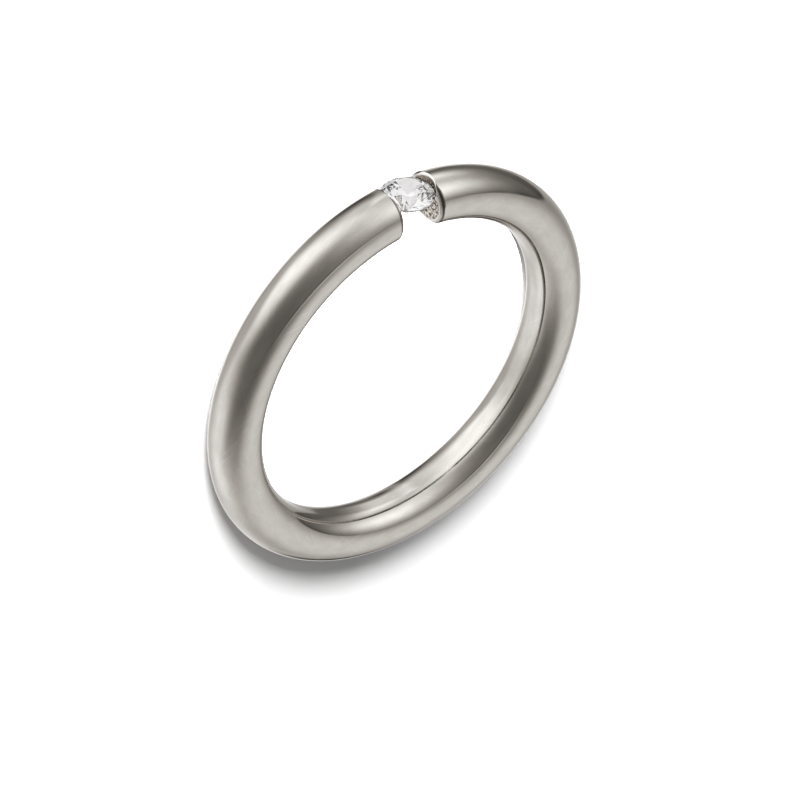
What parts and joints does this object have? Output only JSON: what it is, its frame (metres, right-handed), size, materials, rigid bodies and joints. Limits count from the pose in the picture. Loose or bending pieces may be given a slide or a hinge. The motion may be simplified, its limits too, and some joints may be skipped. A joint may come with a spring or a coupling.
{
  "type": "tension-set cubic zirconia ring",
  "caption": "Open round-wire steel ring that grips a clear round brilliant cubic zirconia between its two sawn ends, lying on its side.",
  "frame": {"origin": "on the surface the ring lies on, under the middle of the finger hole", "axes": "+Z is the axis of the finger hole, up, with the ring lying on its side; the gap and the stone are on the -Y side, with the stone's table facing -Y; +X is along the gap, from one end face to the other"},
  "size_m": [0.024, 0.0239, 0.003],
  "materials": {
    "polished_steel": "soft polish with fine hairline scratches and a faint satin mottle",
    "clear_stone": "flat polished facets, colourless and transparent"
  },
  "bodies": {
    "root": {"band": "polished_steel", "stone": "clear_stone"}
  },
  "joints": []
}
